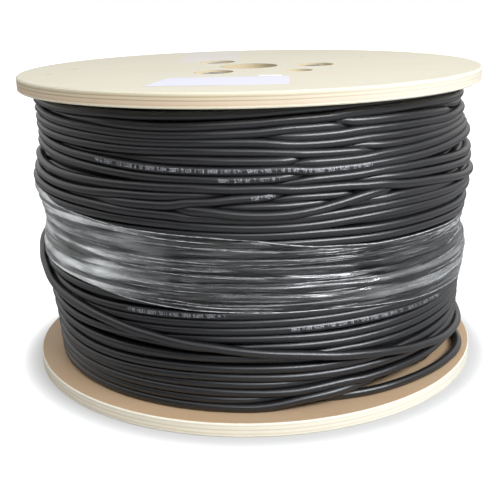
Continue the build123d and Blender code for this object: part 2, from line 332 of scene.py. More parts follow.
class Wire:
    """An output socket of a material, with arithmetic that adds Math nodes."""

    def __init__(self, finish, socket):
        self.finish = finish
        self.socket = socket

    def __add__(self, other):
        return self.finish.maths("ADD", self, other)

    def __radd__(self, other):
        return self.finish.maths("ADD", other, self)

    def __sub__(self, other):
        return self.finish.maths("SUBTRACT", self, other)

    def __rsub__(self, other):
        return self.finish.maths("SUBTRACT", other, self)

    def __mul__(self, other):
        return self.finish.maths("MULTIPLY", self, other)

    def __rmul__(self, other):
        return self.finish.maths("MULTIPLY", other, self)

    def __truediv__(self, other):
        return self.finish.maths("DIVIDE", self, other)


class Finish:
    """A material or a world under construction: its nodes, and what they end in."""

    def __init__(self, name, library=None):
        library = bpy.data.materials if library is None else library
        self.material = library.new(name)
        self.material.use_nodes = True
        self.tree = self.material.node_tree
        self.tree.nodes.clear()

    def add(self, kind, settings=None, values=None, output=0):
        """One node: its settings first, then the values or links of its sockets."""
        node = self.tree.nodes.new(kind)
        for name, value in (settings or {}).items():
            if name == "stops":
                self.set_stops(node.color_ramp.elements, value)
            else:
                setattr(node, name, value)
        for name, value in (values or {}).items():
            if isinstance(value, Wire):
                self.tree.links.new(value.socket, node.inputs[name])
            else:
                node.inputs[name].default_value = value
        return Wire(self, node.outputs[output]) if len(node.outputs) else None

    def set_stops(self, elements, stops):
        while len(elements) < len(stops):
            elements.new(1.0)
        for element, (place, colour) in zip(elements, stops):
            element.position = place
            element.color = (*colour, 1.0) if len(colour) == 3 else colour

    def maths(self, operation, *values):
        return self.add("ShaderNodeMath", {"operation": operation}, dict(enumerate(values)))

    def clamp(self, value):
        return self.add("ShaderNodeClamp", None, {"Value": value})

    def ray(self, *kinds):
        """1 for rays of any of these kinds, such as Is Camera Ray, and 0 for others."""
        found = 0.0
        for kind in kinds:
            found = self.maths("MAXIMUM", found, self.add("ShaderNodeLightPath", output=kind))
        return found

    def spread(self, value, low, high, to_low=0.0, to_high=1.0):
        """A value mapped smoothly from one range to another and held within it."""
        values = {"Value": value, "From Min": low, "From Max": high, "To Min": to_low, "To Max": to_high}
        return self.add("ShaderNodeMapRange", {"interpolation_type": "SMOOTHSTEP"}, values)

    def ridge(self, value, width):
        """Thin lines where a noise crosses its middle."""
        return self.spread(self.maths("ABSOLUTE", value - 0.5), 0.0, width, 1.0, 0.0)

    def inside(self, x, y, corners, soft=0.0004):
        """1 inside a polygon whose corners, in mm, go round it anticlockwise, and 0 outside."""
        share = 1.0
        for (ax, ay), (bx, by) in zip(corners, corners[1:] + corners[:1]):
            run, rise = (bx - ax) * MM, (by - ay) * MM
            off = ((y - ay * MM) * run - (x - ax * MM) * rise) / math.hypot(run, rise)
            share = self.spread(off, -soft, soft) * share
        return share

    def place(self):
        return self.add("ShaderNodeTexCoord", output="Object")

    def stretch(self, vector, scale, turn=(0, 0, 0)):
        values = {"Vector": vector, "Scale": scale, "Rotation": turn}
        return self.add("ShaderNodeMapping", None, values)

    def noise(self, vector, scale, detail=3.0, roughness=0.55, distortion=0.0):
        values = {"Vector": vector, "Scale": scale, "Detail": detail}
        values.update({"Roughness": roughness, "Distortion": distortion})
        return self.add("ShaderNodeTexNoise", None, values)

    def mix(self, share, first, second):
        """Two colours, mixed by a share."""
        return self.add(
            "ShaderNodeMix",
            {"data_type": "RGBA", "clamp_factor": True},
            {0: share, 6: opaque(first), 7: opaque(second)},
            output=2,
        )

    def parts(self, vector):
        """The x, y and z of a vector."""
        node = self.add("ShaderNodeSeparateXYZ", None, {0: vector}).socket.node
        return [Wire(self, node.outputs[axis]) for axis in range(3)]

    def bump(self, height, strength, distance, normal=None):
        values = {"Height": height, "Strength": strength, "Distance": distance}
        if normal is not None:
            values["Normal"] = normal
        return self.add("ShaderNodeBump", None, values)

    def principled(self, **values):
        named = {name.replace("_", " "): value for name, value in values.items()}
        named = {name: opaque(value) for name, value in named.items()}
        return self.add("ShaderNodeBsdfPrincipled", None, named)

    def blend(self, share, first, second):
        return self.add("ShaderNodeMixShader", None, {0: share, 1: first, 2: second})

    def done(self, surface):
        self.add("ShaderNodeOutputMaterial", None, {"Surface": surface})
        return self.material


def opaque(value):
    """A colour of three numbers gets its fourth; anything else stays as it is."""
    if not isinstance(value, Wire) and hasattr(value, "__len__") and len(value) == 3:
        return (*value, 1.0)
    return value


# Mesh helpers


def new_piece(name, points, faces, material, smooth=True):
    """A mesh object in metres, with one material."""
    mesh = bpy.data.meshes.new(name)
    mesh.from_pydata(np.asarray(points, float).tolist(), [], [list(map(int, f)) for f in faces])
    mesh.materials.append(material)
    if smooth:
        mesh.shade_smooth()
    mesh.validate()
    piece = bpy.data.objects.new(name, mesh)
    bpy.context.scene.collection.objects.link(piece)
    return piece


def settle(piece, slot, *nodes):
    """The piece rides on the drum and may stand for CAD nodes; the slot argument is not used."""
    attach(piece, BODY)
    if nodes:
        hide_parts(*nodes)


def smooth_noise(rng, waves):
    """A periodic wander round the drum, of unit size."""
    angle = np.linspace(0, 2 * np.pi, COLUMNS, endpoint=False)
    total = np.zeros(COLUMNS)
    for wave in waves:
        total += rng.normal(0, 1 / wave) * np.cos(wave * angle + rng.uniform(0, 2 * np.pi))
    return total


def tube_points(azimuths, radius, height, across, tall, sides):
    """Points of a tube, in metres, from its route and its half width and half height in mm."""
    angle = np.radians(azimuths)[:, None]
    around = 2 * np.pi * np.arange(sides)[None, :] / sides
    out = radius[:, None] + across * np.cos(around)
    up = height[:, None] + tall * np.sin(around)
    return np.stack([out * np.cos(angle), out * np.sin(angle), up], -1).reshape(-1, 3) * MM


def closed_faces(rings, sides):
    """Faces of a closed tube, ring after ring."""
    first = np.arange(rings * sides)
    beside = first + 1 - sides * (first % sides == sides - 1)
    after, opposite = (first + sides) % (rings * sides), (beside + sides) % (rings * sides)
    return np.stack([first, after, opposite, beside], -1)


def grid_faces(rows, columns):
    """Faces of a grid that is closed round the drum."""
    first = np.arange((rows - 1) * columns)
    beside = first + 1 - columns * (first % columns == columns - 1)
    return np.stack([first, beside, beside + columns, first + columns], -1)


# Winding


def column_azimuths():
    """Azimuths of the columns, from -180 degrees."""
    return -180.0 + 360.0 * np.arange(COLUMNS) / COLUMNS


def pile_radius(height, azimuth):
    """Outermost distance from the axis at a height, between the left and the right profile."""
    left = np.interp(height, list(PILE_LEFT), list(PILE_LEFT.values()))
    right = np.interp(height, list(PILE_RIGHT), list(PILE_RIGHT.values()))
    share = 0.5 + 0.5 * np.cos(np.radians(azimuth))
    return left + (right - left) * share


def turn_heights(way, rng):
    """Height of one turn in every column: the read route in front, an easy blend behind."""
    azimuth = column_azimuths()
    known = sorted(way)
    start, stop = known[0], known[-1]
    front = np.interp(azimuth, known, [way[a] for a in known])
    run = 360.0 - (stop - start)
    behind = (azimuth - stop) % 360.0
    share = np.clip(behind / run, 0, 1)
    share = share * share * (3 - 2 * share)
    back = way[stop] + (way[start] - way[stop]) * share
    back += 1.3 * np.sin(np.pi * np.clip(behind / run, 0, 1)) * smooth_noise(rng, (2, 3, 5))
    return np.where((azimuth >= start) & (azimuth <= stop), front, back)


def turn_depths(ends=None, deep=0.0, hide=HIDDEN_DEPTH):
    """How deep one turn lies in every column."""
    if ends is None:
        return np.full(COLUMNS, float(deep))
    azimuth = column_azimuths()
    low, high = ends
    middle, half = (low + high) / 2, (high - low) / 2
    away = np.abs((azimuth - middle + 180.0) % 360.0 - 180.0) - half
    share = np.clip(away / DIVE_DEGREES + DIVE_INSIDE, 0, 1)
    share = share * share * (3 - 2 * share)
    return deep + (hide - deep) * share


def rolled(values, weight):
    """One step of smoothing round the drum."""
    return values + weight * (0.5 * (np.roll(values, 1, 1) + np.roll(values, -1, 1)) - values)


def wind(passes):
    """Heights and radii of every turn, in mm, after the turns have pushed each other apart."""
    rng = np.random.default_rng(7)
    azimuth = column_azimuths()
    heights, depths = [], []
    for turn in TURNS.values():
        heights.append(turn_heights(turn["way"], rng))
        depths.append(turn_depths(**{key: turn[key] for key in turn if key != "way"}))
    low, high = LOW_LIMIT + UNDER_MARGIN, TOP_LIMIT - UNDER_MARGIN
    for index in range(UNDER_TURNS):
        level = low + (high - low) * index / (UNDER_TURNS - 1)
        heights.append(level + 0.8 * smooth_noise(rng, (1, 2, 3)))
        depths.append(np.full(COLUMNS, UNDER_DEPTH))
    height, depth = np.array(heights), np.array(depths)
    for _ in range(ROUTE_SMOOTHING):
        height, depth = rolled(height, 0.5), rolled(depth, 0.5)
    wished_height = height.copy()
    radius = pile_radius(height, azimuth[None, :]) - CABLE_RADIUS / MM - depth
    wished_radius = radius.copy()
    shown = np.clip(1 - depth / HIDDEN_DEPTH, 0, 1)
    ease = 1.0 - SHOWN_FIRMNESS * shown
    ease[len(TURNS):] = 1.0
    pull = HIDDEN_PULL + SHOWN_PULL * shown
    across = 2 * CABLE_RADIUS / MM
    for _ in range(passes):
        height = height + pull * (wished_height - height)
        radius = radius + pull * (wished_radius - radius)
        dz = height[:, None, :] - height[None, :, :]
        dr = radius[:, None, :] - radius[None, :, :]
        gap = np.sqrt(dz * dz + dr * dr) + 1e-6
        press = np.maximum(across - gap, 0) * (gap > 1e-3)
        share = ease[:, None, :] / (ease[:, None, :] + ease[None, :, :])
        press = press * share / gap * PRESS_STEP
        height = height + (press * dz).sum(1)
        radius = radius + (press * dr).sum(1)
        height, radius = rolled(height, 0.5), rolled(radius, 0.5)
        floor = np.where(radius < FOOT_RADIUS, FOOT_HEIGHT, LOW_LIMIT)
        height = np.clip(height, floor + across / 2, TOP_LIMIT - across / 2)
        radius = np.minimum(radius, np.minimum(wished_radius + OUT_LIMIT, OUTER_LIMIT - across / 2))
    return height, radius


def bundle(name, turns, height, radius, sides, step, material):
    """Several turns as one piece."""
    azimuths = column_azimuths()[::step]
    cable = CABLE_RADIUS / MM
    ring_faces = closed_faces(len(azimuths), sides)
    points, faces = [], []
    for number, turn in enumerate(turns):
        route = radius[turn][::step], height[turn][::step]
        points.append(tube_points(azimuths, *route, cable, cable, sides))
        faces.append(ring_faces + number * len(azimuths) * sides)
    return new_piece(name, np.concatenate(points), np.concatenate(faces), material)


def jacket_finish(colour, roughness):
    """Satin black cable jacket, with faint scuffs and dust."""
    finish = Finish("cable_jacket")
    place = finish.place()
    fine = finish.noise(place, 900.0, 4.0, 0.6)
    broad = finish.noise(place, 35.0, 3.0, 0.5)
    dust = finish.spread(broad, 0.45, 0.75)
    shade = finish.mix(dust * 0.35, colour, tuple(2.1 * c for c in colour))
    gloss = roughness - 0.04 + broad * 0.08 + fine * 0.03
    normal = finish.bump(fine, 0.06, 0.0002)
    surface = finish.principled(
        Base_Color=shade, Roughness=gloss, Normal=normal, IOR=1.5, Specular_IOR_Level=0.75
    )
    return finish.done(surface)


# Film


def film_finish(colour):
    """Clear stretch film: see-through and glossy, milky in places, with a broad painted reflection on its
    left side, and full of fine lines.
    """
    finish = Finish("clear_film")
    x, y, z = finish.parts(finish.place())
    turn = finish.maths("ARCTAN2", y, x)
    azimuth, height = turn * math.degrees(1), z / MM
    flat = finish.add("ShaderNodeCombineXYZ", None, {0: turn * FLANGE_RADIUS, 1: 0.0, 2: z})
    fine = finish.noise(finish.stretch(flat, (1.3, 1, 100)), 5.0, 1.5, 0.5, 0.25)
    slant = finish.noise(finish.stretch(flat, (3, 1, 70), turn=(0, 0.05, 0)), 5.0, 1.5, 0.5, 0.2)
    cloud = finish.noise(finish.stretch(flat, (1, 1, 2.2)), 24.0, 3.0, 0.6, 0.4)
    lines = finish.ridge(fine, 0.030) + finish.ridge(slant, 0.022)
    lines = lines * finish.spread(cloud, 0.40, 0.60, 0.25, 1.0)
    band = finish.noise(finish.stretch(flat, (1.6, 1, 34)), 5.0, 2.0, 0.5, 0.2)
    streak = finish.spread(band, 0.42, 0.57, 0.16, 1.35)
    # Painted reflection: a broad white sheen over the film's left side, painted into its milky haze.
    milk_and_sheen = finish.spread(azimuth, -106, -138) * streak * 0.54
    level = height + (azimuth + 50) * 0.10
    for low, high, share in HAZE_BANDS:
        inside = finish.spread(level, low, low + 1.5) * finish.spread(level, high, high - 1.5)
        span = finish.spread(azimuth, -74, -46) * finish.spread(azimuth, -4, -14)
        milk_and_sheen = milk_and_sheen + inside * span * share
    milk_and_sheen = (milk_and_sheen + 0.003 + lines * 0.085) * finish.spread(cloud, 0.3, 0.7, 0.6, 1.3)
    normal = finish.bump(fine, 0.16, 0.0008)
    edge = finish.add("ShaderNodeFresnel", None, {"IOR": 1.5, "Normal": normal})
    clear = finish.add("ShaderNodeBsdfTransparent", None, {"Color": (0.98, 0.98, 0.98, 1.0)})
    gloss = finish.add(
        "ShaderNodeBsdfGlossy", None, {"Color": (1, 1, 1, 1), "Roughness": 0.17, "Normal": normal}
    )
    skin = finish.blend(finish.clamp(edge * 1.1), clear, gloss)
    haze = finish.principled(Base_Color=colour, Roughness=0.3, Normal=normal)
    return finish.done(finish.blend(finish.clamp(milk_and_sheen), skin, haze))


def crease_finish(colour):
    """Film that is gathered into a crease: whiter than the rest, and shiny."""
    finish = Finish("film_crease")
    fleck = finish.noise(finish.place(), 160.0, 3.0, 0.6)
    clear = finish.add("ShaderNodeBsdfTransparent", None, {"Color": (1, 1, 1, 1)})
    fold = finish.principled(Base_Color=colour, Roughness=0.22)
    return finish.done(finish.blend(finish.spread(fleck, 0.35, 0.65, 0.14, 0.56), clear, fold))


def film_edges():
    """Heights of the film's lower and upper edge in every column, in mm."""
    return [turn_heights(way, np.random.default_rng(3)) for way in (FILM_LOWER, FILM_UPPER)]


def film_shell(height, radius, rows):
    """The film's heights and radii, stretched from turn to turn with a slight dip between."""
    low, high = film_edges()
    share = np.linspace(0, 1, rows)[:, None]
    level = low[None, :] + (high - low)[None, :] * share
    cable = CABLE_RADIUS / MM
    skin = np.zeros_like(level)
    for index, name in enumerate(TURNS):
        if name == "x":
            continue
        off = level - height[index][None, :]
        bulge = radius[index][None, :] + np.sqrt(np.maximum(cable * cable - off * off, 0))
        skin = np.maximum(skin, np.where(np.abs(off) < cable, bulge, 0))
    hugging = skin.copy()
    for _ in range(FILM_TIGHTENING):
        skin[1:-1] = np.maximum(skin[1:-1], 0.5 * (skin[:-2] + skin[2:]) - 0.004)
    skin = FILM_CLING * np.maximum(hugging, skin - FILM_DIP) + (1 - FILM_CLING) * skin
    skin[-5:] = np.maximum(skin[-5:], skin[-6])
    skin[:4] = np.maximum(skin[:4], skin[4])
    rng = np.random.default_rng(11)
    azimuth = np.radians(column_azimuths())
    for _ in range(FILM_WAVES):
        turns, climb = rng.integers(3, 22), rng.uniform(2, 16)
        phase, size = rng.uniform(0, 2 * np.pi), rng.uniform(0.03, 0.12)
        skin = skin + size * np.sin(turns * azimuth[None, :] + climb * 2 * np.pi * share + phase)
    return level, np.minimum(skin + FILM_PROUD, OUTER_LIMIT)


def film_bead(level, skin, rng, size, sides=6):
    """A gathered edge of film: a thin uneven cord along one row, in metres."""
    girth = size * (1 + 0.45 * smooth_noise(rng, (3, 7, 12, 19)))
    girth = np.clip(girth, 0.35 * size, 1.8 * size)[:, None]
    points = tube_points(column_azimuths(), skin, level, 0.5 * girth, girth, sides)
    return points, closed_faces(COLUMNS, sides)


def film_creases(level, skin, steps=36, sides=5):
    """Creases in the film: thin tapered tubes that lie on it, in metres."""
    rng = np.random.default_rng(19)
    creases = list(FILM_CREASES)
    for _ in range(LOOSE_CREASES):
        start, run = rng.uniform(-180, 180), rng.uniform(8, 30)
        column = int((start + 180) / 360 * COLUMNS) % COLUMNS
        low, high = level[0, column] + 2, level[-1, column] - 3
        height = rng.uniform(low, high)
        creases.append((start, height, start + run, height - 0.06 * run + rng.normal(0, 0.4),
                        rng.uniform(0.08, 0.20)))
    share = np.linspace(0, 1, steps)
    points, faces = [], []
    for number, (from_azimuth, from_height, to_azimuth, to_height, size) in enumerate(creases):
        azimuth = from_azimuth + (to_azimuth - from_azimuth) * share
        sway = 0.25 * np.sin(np.pi * share * rng.uniform(1.5, 4)) * np.sin(np.pi * share)
        height = from_height + (to_height - from_height) * share + sway
        column = (azimuth + 180) / 360 * COLUMNS
        before = np.floor(column).astype(int)
        part = column - before
        low, high = level[0, before % COLUMNS], level[-1, before % COLUMNS]
        row = np.clip((height - low) / (high - low), 0, 1) * (len(level) - 1)
        row = np.round(row).astype(int)
        out = skin[row, before % COLUMNS] * (1 - part) + skin[row, (before + 1) % COLUMNS] * part
        girth = size * np.sqrt(np.sin(np.pi * np.clip(share, 0.01, 0.99)))
        tall = girth[:, None]
        points.append(tube_points(azimuth, out + 0.3 * girth, height, 0.5 * tall, tall, sides))
        rings = closed_faces(steps, sides)[: (steps - 1) * sides]
        faces.append(rings + number * steps * sides)
    return np.concatenate(points), np.concatenate(faces)


def stroke_corners(stroke):
    """Corners of one stroke of a digit, as (along, up) in mm."""
    x0, y0, x1, y1 = STROKES[stroke]
    wide, tall = (0, STROKE_WIDTH / 2) if x0 != x1 else (STROKE_WIDTH / 2, 0)
    left, right = x0 * DIGIT_WIDTH - wide, x1 * DIGIT_WIDTH + wide
    low, high = y0 * DIGIT_HEIGHT / 2 - tall, y1 * DIGIT_HEIGHT / 2 + tall
    return (left, low), (right, low), (right, high), (left, high)


def print_marks(height, radius):
    """Plain numbers along some turns, each stroke one thin patch on the jacket, in metres."""
    rng = np.random.default_rng(23)
    names = list(TURNS)
    columns = np.append(column_azimuths(), 180.0)
    cable = CABLE_RADIUS / MM
    points = []
    for name, first, last in PRINTS:
        turn = names.index(name)
        turn_height = np.append(height[turn], height[turn][0])
        turn_radius = np.append(radius[turn], radius[turn][0])
        length = math.radians(last - first) * FLANGE_RADIUS / MM
        for place in range(int(length / DIGIT_STEP)):
            if place % 5 == 4 or rng.uniform() < 0.08:
                continue
            for stroke in DIGITS[rng.integers(0, 10)]:
                for along, up in stroke_corners(stroke):
                    azimuth = first + math.degrees((place * DIGIT_STEP + along) * MM / FLANGE_RADIUS)
                    lean = (up - DIGIT_HEIGHT / 2) / cable + PRINT_LEAN
                    out = np.interp(azimuth, columns, turn_radius)
                    out += (cable + PRINT_PROUD) * math.cos(lean)
                    level = np.interp(azimuth, columns, turn_height)
                    level += (cable + PRINT_PROUD) * math.sin(lean)
                    angle = math.radians(azimuth)
                    points.append((out * math.cos(angle), out * math.sin(angle), level))
    return np.array(points) * MM, np.arange(len(points)).reshape(-1, 4)


def ink_finish():
    """White ink, a little worn."""
    finish = Finish("white_ink")
    wear = finish.noise(finish.place(), 700.0, 3.0, 0.6)
    tint = finish.mix(finish.spread(wear, 0.35, 0.65), (0.14, 0.14, 0.15), (0.55, 0.56, 0.60))
    return finish.done(finish.principled(Base_Color=tint, Roughness=0.5))


# Flanges, board and steel


def plywood_finish(colour, low, high, plies):
    """Birch plywood: a fine grain and small knots on its faces, and its plies on its edge, with painted
    light that makes the edge paler towards the right.
    """
    finish = Finish("plywood")
    place = finish.place()
    x, y, z = finish.parts(place)
    grain = finish.noise(finish.stretch(place, (14, 220, 14)), 3.0, 5.0, 0.6, 0.4)
    broad = finish.noise(finish.stretch(place, (6, 22, 6)), 1.6, 3.0, 0.5, 0.6)
    face = finish.mix(finish.spread(grain, 0.3, 0.75) * 0.30, colour, tuple(0.86 * c for c in colour))
    warm = (colour[0] * 0.97, colour[1] * 0.88, colour[2] * 0.76)
    face = finish.mix(finish.spread(broad, 0.42, 0.75) * 0.4, face, warm)
    for knot_x, knot_y, size in KNOTS:
        off_x, off_y = (x - knot_x * MM) / MM, (y - knot_y * MM) / MM
        away = finish.maths("SQRT", off_x * off_x * 0.5 + off_y * off_y)
        face = finish.mix(finish.spread(away, size, 0.3 * size) * 0.7, face, (0.42, 0.27, 0.16))
    fibre = finish.noise(finish.stretch(place, (60, 60, 900)), 4.0, 4.0, 0.6)
    sway = finish.noise(finish.stretch(place, (1, 1, 0)), 22.0, 2.0, 0.5)
    share = (z - low) / (high - low) + (sway - 0.5) * 0.05
    edge = finish.add("ShaderNodeValToRGB", {"stops": plies}, {"Fac": share})
    worn = finish.spread(fibre, 0.45, 0.75) * 0.30
    edge = finish.mix(worn, edge, (0.50, 0.36, 0.22))
    # Painted light: the edge turns paler towards the right, where the lamps light it most.
    edge = finish.mix(finish.spread(x, -0.05, 0.15) * 0.55, edge, (0.60, 0.595, 0.53))
    radial = finish.maths("SQRT", x * x + y * y)
    rim = finish.spread(radial, FLANGE_RADIUS - 0.0010, FLANGE_RADIUS - 0.0006)
    normal = finish.bump(grain * 0.5 + fibre * 0.5, 0.12, 0.0004)
    return finish, place, radial, finish.mix(rim, face, edge), normal


def plywood_done(finish, tint, normal):
    return finish.done(finish.principled(Base_Color=tint, Roughness=0.6, Normal=normal))


def top_plywood(colour, low, high):
    """The top flange, with the bare paper label that is stuck on it, a painted highlight on the label's
    curled edge and a painted shadow along its front edge.
    """
    finish, place, radial, tint, normal = plywood_finish(colour, low, high, TOP_PLIES)
    x, y, z = finish.parts(place)
    sunk = finish.spread(z, high - 0.0002, high - 0.0006)
    sunk = sunk * finish.spread(radial, 0.090, 0.089)
    tint = finish.mix(sunk * 0.9, tint, (0.60, 0.49, 0.30))
    flat = finish.spread(z, high - 0.0003, high - 0.0001)
    mottle = finish.noise(place, 40.0, 3.0, 0.5)
    # The second paper is a painted highlight on the label's curled edge.
    for corners, paper, share in PAPERS:
        shade = finish.mix(mottle * 0.3, paper, tuple(0.93 * c for c in paper))
        tint = finish.mix(finish.inside(x, y, corners) * flat * share, tint, shade)
    # Painted shadow: a dark line along the label's front edge, fading out towards the right.
    gap = finish.inside(x, y, LABEL_SHADOW, 0.0003) * finish.spread(x, 0.0, -0.03)
    tint = finish.mix(gap * flat * 0.7, tint, (0.25, 0.22, 0.19))
    return plywood_done(finish, tint, normal)


def bottom_plywood(colour, low, high):
    """The bottom flange: its upper face is browner, with painted shade that darkens it towards the
    winding.
    """
    finish, _, radial, tint, normal = plywood_finish(colour, low, high, BOTTOM_PLIES)
    # Painted shade: the upper face darkens towards the winding, which shades it.
    painted_winding_shade = finish.spread(radial, 0.165, 0.140) * 0.25
    tint = finish.mix(painted_winding_shade, tint, tuple(0.55 * c for c in colour))
    return plywood_done(finish, tint, normal)


def board_finish(colour):
    """Wound board of the barrel, with its spiral seams."""
    finish = Finish("fibre_tube")
    place = finish.place()
    x, y, z = finish.parts(place)
    angle = finish.maths("ARCTAN2", y, x)
    spiral = finish.maths("FRACT", angle / (2 * math.pi) + z * 9.0)
    seam = finish.spread(spiral, 0.0, 0.03, 1.0, 0.0)
    fibre = finish.noise(place, 320.0, 5.0, 0.7)
    tint = finish.mix(fibre * 0.6, colour, tuple(0.6 * c for c in colour))
    tint = finish.mix(seam * 0.6, tint, (0.18, 0.12, 0.08))
    normal = finish.bump(fibre - seam, 0.25, 0.0004)
    return finish.done(finish.principled(Base_Color=tint, Roughness=0.85, Normal=normal))


def steel_finish(colour, pitch=None):
    """Dull zinc plating, with a thread where a pitch is given."""
    finish = Finish("zinc_steel")
    place = finish.place()
    cloud = finish.noise(place, 260.0, 4.0, 0.6)
    tint = finish.mix(finish.spread(cloud, 0.4, 0.75), colour, tuple(0.62 * c for c in colour))
    normal = finish.bump(cloud, 0.1, 0.0002)
    if pitch:
        height = finish.parts(place)[2]
        thread = finish.maths("SINE", height * (2 * math.pi / pitch))
        normal = finish.bump(thread, 0.8, 0.25 * pitch, normal)
    return finish.done(
        finish.principled(Base_Color=tint, Metallic=1.0, Roughness=0.34 + cloud * 0.25, Normal=normal)
    )


def floor_finish(glow):
    """White floor: the camera sees white further out, and near the drum the object's own shadow with
    painted shade, as the added white fades towards the rim.
    """
    finish = Finish("stage_floor")
    x, y, _ = finish.parts(finish.place())
    away = finish.maths("SQRT", x * x + y * y)
    lit, seen, mirrored = [
        finish.principled(Base_Color=(grey, grey, grey), Roughness=0.9)
        for grey in (FLOOR_LIT, FLOOR_SEEN, FLOOR_MIRRORED)
    ]
    near_white, far_white = [
        finish.add("ShaderNodeEmission", None, {"Color": (1, 1, 1, 1), "Strength": strength})
        for strength in (glow, 1.1)
    ]
    # Painted shade: the white added for the camera grows only from the rim outwards, so the floor is
    # darker close round the drum.
    far = finish.spread(away, FLANGE_RADIUS, FLOOR_WHITE_FROM * FLANGE_RADIUS)
    white = finish.blend(far, near_white, far_white)
    both = finish.add("ShaderNodeAddShader", None, {0: seen, 1: white})
    lit = finish.blend(finish.ray("Is Glossy Ray"), lit, mirrored)
    shown = finish.ray("Is Camera Ray", "Is Transmission Ray")
    return finish.done(finish.blend(shown, lit, both))


def studio_world(front, back):
    """Even light, dim in front and white behind; the camera sees plain white."""
    studio = Finish("studio", bpy.data.worlds)
    _, y, z = studio.parts(studio.add("ShaderNodeTexCoord", output="Generated"))
    behind = studio.spread(y, -0.45, 0.5)
    above = studio.spread(z, 0.15, 0.9) * 0.12
    level = studio.clamp(front + behind * (back - front) + above)
    seen = studio.ray("Is Camera Ray", "Is Transmission Ray")
    strength = level + seen * (1 - level)
    sky = studio.add("ShaderNodeBackground", None, {"Color": (1, 1, 1, 1), "Strength": strength})
    studio.add("ShaderNodeOutputWorld", None, {"Surface": sky})
    return studio.material


# Settings


class WindingSettings(bpy.types.PropertyGroup):
    passes: IntProperty(
        name="Settling passes", description="How often the turns push each other apart", default=70, min=1
    )
    sides: IntProperty(name="Sides", description="Sides of each turn in sight", default=14, min=6)
    colour: FloatVectorProperty(
        name="Jacket colour", description="Colour of the cable's jacket",
        subtype="COLOR", default=(0.0058, 0.0058, 0.0070), min=0.0, max=1.0,
    )
    roughness: FloatProperty(
        name="Jacket roughness", description="Roughness of the jacket", default=0.34, min=0.0, max=1.0
    )


class DrumSettings(bpy.types.PropertyGroup):
    wood: FloatVectorProperty(
        name="Wood colour", description="Colour of the plywood's faces",
        subtype="COLOR", default=(0.56, 0.525, 0.42), min=0.0, max=1.0,
    )
    lower_wood: FloatVectorProperty(
        name="Lower wood colour", description="Colour of the bottom flange's faces",
        subtype="COLOR", default=(0.47, 0.33, 0.205), min=0.0, max=1.0,
    )
    board: FloatVectorProperty(
        name="Board colour", description="Colour of the barrel's board",
        subtype="COLOR", default=(0.42, 0.30, 0.19), min=0.0, max=1.0,
    )
    steel: FloatVectorProperty(
        name="Steel colour", description="Colour of the zinc plating",
        subtype="COLOR", default=(0.34, 0.33, 0.31), min=0.0, max=1.0,
    )


class FilmSettings(bpy.types.PropertyGroup):
    rows: IntProperty(name="Rows", description="Rows of faces over the film's width", default=56, min=8)
    colour: FloatVectorProperty(
        name="Haze colour", description="Colour of the film's milky haze",
        subtype="COLOR", default=(0.80, 0.815, 0.82), min=0.0, max=1.0,
    )


class StageSettings(bpy.types.PropertyGroup):
    top_power: FloatProperty(
        name="Top lamp", description="Power of the wide lamp overhead",
        default=7.0, min=0.0, unit="POWER",
    )
    key_power: FloatProperty(
        name="Key lamp", description="Power of the long lamp at the right",
        default=21.0, min=0.0, unit="POWER",
    )
    fill_power: FloatProperty(
        name="Fill lamp", description="Power of the wide lamp in front",
        default=17.0, min=0.0, unit="POWER",
    )
    front: FloatProperty(name="Front light", description="Even light from in front", default=0.04, min=0.0)
    back: FloatProperty(name="Back light", description="Even light from behind", default=0.85, min=0.0)
    floor_glow: FloatProperty(
        name="Floor white", description="White that the floor adds for the camera", default=0.34, min=0.0
    )


# Operators

# What the winding leaves for the slack turn and the film: its jacket, heights and radii
SHARED = {}


class DRUM_OT_wood(bpy.types.Operator):
    """Gives the flanges their plywood, the barrel its board and the fasteners their zinc"""

    bl_idname = "cable_drum.wood"
    bl_label = "Flanges, barrel and fasteners"

    def execute(self, context):
        settings = context.scene.drum_settings
        low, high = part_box("top_flange")
        dress("top_flange", top_plywood(tuple(settings.wood), low.z, high.z))
        low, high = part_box("bottom_flange")
        dress("bottom_flange", bottom_plywood(tuple(settings.lower_wood), low.z, high.z))
        dress("barrel", board_finish(tuple(settings.board)))
        plain = steel_finish(tuple(settings.steel))
        threaded = steel_finish(tuple(settings.steel), THREAD_PITCH)
        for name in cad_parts:
            if name.startswith("tie_rod"):
                dress(name, threaded)
            elif name.startswith(("nut_", "washer_")):
                dress(name, plain)
        return {"FINISHED"}


def dress(name, material):
    """A CAD node keeps its shape and gets a better material."""
    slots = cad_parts[name].data.materials
    slots.clear()
    slots.append(material)


class DRUM_OT_slack_turn(bpy.types.Operator):
    """Lays the slack turn on the lower flange"""

    bl_idname = "cable_drum.slack_turn"
    bl_label = "Slack turn"

    def execute(self, context):
        curve = bpy.data.curves.new("slack_turn", "CURVE")
        curve.dimensions = "3D"
        curve.bevel_depth = CABLE_RADIUS
        curve.bevel_resolution = 5
        curve.resolution_u = 12
        curve.use_fill_caps = True
        spline = curve.splines.new("NURBS")
        spline.points.add(len(SLACK_ROUTE) - 1)
        for point, (angle, distance) in zip(spline.points, SLACK_ROUTE):
            turn = math.radians(angle)
            place = (distance * math.cos(turn), distance * math.sin(turn), SLACK_HEIGHT)
            point.co = (*place, 1.0)
        spline.order_u = 3
        spline.use_endpoint_u = True
        curve.materials.append(SHARED["jacket"])
        piece = bpy.data.objects.new("slack_turn", curve)
        bpy.context.scene.collection.objects.link(piece)
        settle(piece, "cable_jacket", "loose_turn")
        return {"FINISHED"}


